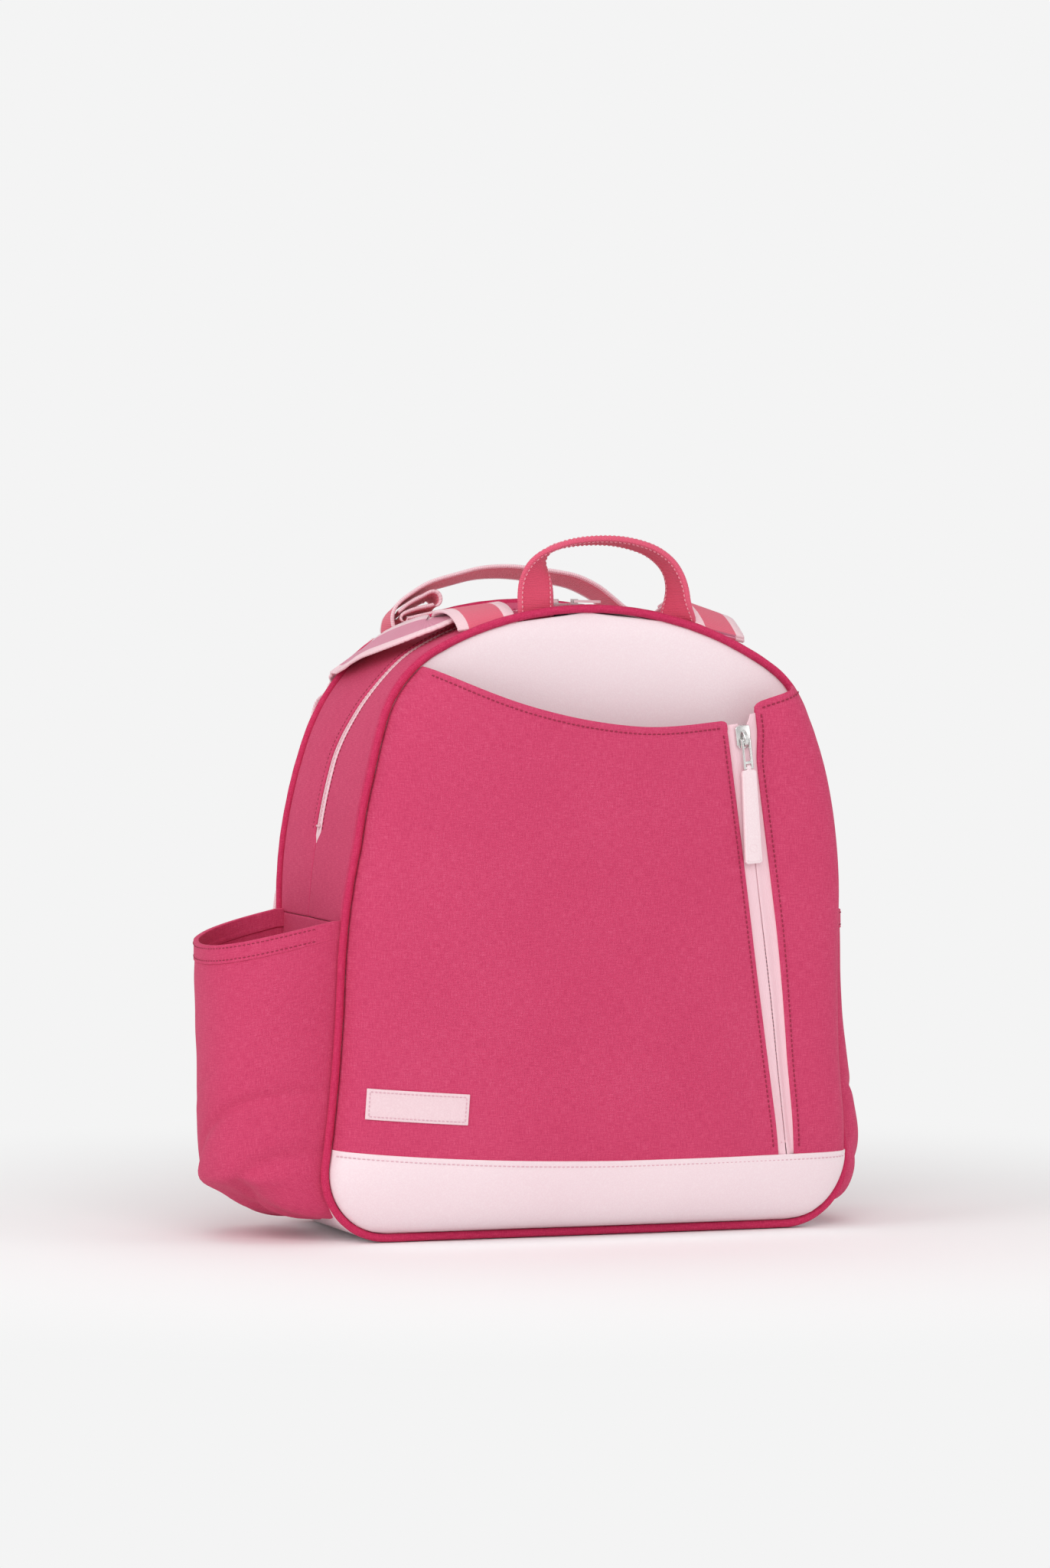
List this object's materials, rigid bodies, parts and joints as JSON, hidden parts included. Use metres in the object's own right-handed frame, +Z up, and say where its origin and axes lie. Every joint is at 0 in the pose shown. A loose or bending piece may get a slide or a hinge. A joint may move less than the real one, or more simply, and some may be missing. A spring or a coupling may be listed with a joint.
{
  "type": "racket backpack",
  "caption": "Arched backpack with an open racket pocket on its front, a zipped main compartment, side bottle pockets, carry loops and shoulder straps.",
  "frame": {"origin": "on the base, under the line of the main zip, halfway across", "axes": "+X to the right seen from the front, +Y towards the wearer, +Z up"},
  "size_m": [0.4495, 0.2628, 0.4537],
  "materials": {
    "raspberry_canvas": "dense raspberry canvas with a fine weave",
    "pale_leather": "pale pink coated leather with a fine grain",
    "zip_tape": "pale pink knitted zip tape",
    "zip_coil": "pale pink moulded coil",
    "silver_metal": "polished nickel",
    "coral_webbing": "coral webbing with pale edges and a mauve underside",
    "handle_webbing": "raspberry webbing, folded and stitched",
    "piping": "raspberry cloth over a cord",
    "lining": "pale woven lining",
    "foam": "closed-cell foam",
    "stiffener": "black board"
  },
  "bodies": {
    "bag": {"front_panel": "pale_leather", "back_panel": "raspberry_canvas", "back_foam": "foam", "back_board": "stiffener", "front_gusset": "raspberry_canvas", "rear_gusset": "raspberry_canvas", "side_panel_left": "raspberry_canvas", "side_panel_right": "raspberry_canvas", "base_gusset": "pale_leather", "base_board": "stiffener", "main_lining": "lining", "front_piping": "piping", "rear_piping": "piping", "main_zip_tape_front": "zip_tape", "main_zip_tape_rear": "zip_tape", "main_zip_coil": "zip_coil", "main_zip_stops": "silver_metal", "racket_pocket_panel": "raspberry_canvas", "racket_pocket_flap": "raspberry_canvas", "base_band": "pale_leather", "pocket_zip_tape_left": "zip_tape", "pocket_zip_tape_right": "zip_tape", "pocket_zip_coil": "zip_coil", "pocket_zip_stops": "silver_metal", "label_patch": "pale_leather", "bottle_pocket_left": "raspberry_canvas", "bottle_pocket_right": "raspberry_canvas", "bottle_hem_left": "raspberry_canvas", "bottle_hem_right": "raspberry_canvas", "top_handle_roots": "handle_webbing", "rear_loop_patches": "coral_webbing", "strap_top_left": "coral_webbing", "strap_top_right": "coral_webbing", "strap_root_left": "coral_webbing", "strap_root_right": "coral_webbing", "corner_tab_left": "raspberry_canvas", "corner_tab_right": "raspberry_canvas"},
    "pocket_slider": {"pocket_zip_slider": "silver_metal"},
    "pocket_link": {"pocket_zip_link": "silver_metal"},
    "pocket_tab": {"pocket_zip_tab": "pale_leather"},
    "main_slider_left": {"main_slider_left": "silver_metal"},
    "main_slider_right": {"main_slider_right": "silver_metal"},
    "main_puller_left": {"main_puller_left": "pale_leather"},
    "main_puller_right": {"main_puller_right": "pale_leather"},
    "top_handle": {"top_handle": "handle_webbing"},
    "rear_loop": {"rear_loop": "coral_webbing"},
    "strap_left": {"strap_left": "coral_webbing"},
    "strap_right": {"strap_right": "coral_webbing"},
    "adjuster_left": {"strap_adjuster_left": "silver_metal"},
    "adjuster_right": {"strap_adjuster_right": "silver_metal"}
  },
  "joints": [
    {"name": "pocket_zip", "type": "slide", "parent": "bag", "child": "pocket_slider", "axis": [0.1182, 0.0154, -0.9929], "range_m": [0, 0.235]},
    {"name": "pocket_link_lift", "type": "hinge", "parent": "pocket_slider", "child": "pocket_link", "pos_m": [0.09449, -0.11106, 0.31756], "axis": [-0.9737, -0.1946, -0.1189], "range_deg": [0, 120]},
    {"name": "pocket_tab_lift", "type": "hinge", "parent": "pocket_link", "child": "pocket_tab", "pos_m": [0.09662, -0.11078, 0.29969], "axis": [-0.9737, -0.1946, -0.1189], "range_deg": [0, 60]},
    {"name": "main_zip_left", "type": "hinge", "parent": "bag", "child": "main_slider_left", "pos_m": [0, -0.03, 0.182], "axis": [0, -1, 0], "range_deg": [0, 26]},
    {"name": "main_zip_right", "type": "hinge", "parent": "bag", "child": "main_slider_right", "pos_m": [0, -0.03, 0.182], "axis": [0, 1, 0], "range_deg": [0, 26]},
    {"name": "main_puller_left_lift", "type": "hinge", "parent": "main_slider_left", "child": "main_puller_left", "pos_m": [-0.00661, -0.03, 0.4047], "axis": [0, 1, 0], "range_deg": [0, 100]},
    {"name": "main_puller_right_lift", "type": "hinge", "parent": "main_slider_right", "child": "main_puller_right", "pos_m": [0.00661, -0.03, 0.4047], "axis": [0, -1, 0], "range_deg": [0, 100]},
    {"name": "top_handle_fold", "type": "hinge", "parent": "bag", "child": "top_handle", "pos_m": [0, -0.0688, 0.4025], "axis": [-1, 0, 0], "range_deg": [-70, 45]},
    {"name": "rear_loop_fold", "type": "hinge", "parent": "bag", "child": "rear_loop", "pos_m": [0, 0.0725, 0.393], "axis": [-1, 0, 0], "range_deg": [-45, 80]},
    {"name": "strap_left_swing", "type": "hinge", "parent": "bag", "child": "strap_left", "pos_m": [-0.1344, 0.084, 0.0496], "axis": [0.0762, 0, 0.9971], "range_deg": [-35, 35]},
    {"name": "strap_right_swing", "type": "hinge", "parent": "bag", "child": "strap_right", "pos_m": [0.1344, 0.084, 0.0496], "axis": [0.0762, 0, -0.9971], "range_deg": [-35, 35]},
    {"name": "adjuster_left_slide", "type": "slide", "parent": "strap_left", "child": "adjuster_left", "axis": [-0.0696, -0.4062, -0.9111], "range_m": [0, 0.045]},
    {"name": "adjuster_right_slide", "type": "slide", "parent": "strap_right", "child": "adjuster_right", "axis": [0.0696, -0.4062, -0.9111], "range_m": [0, 0.045]}
  ]
}
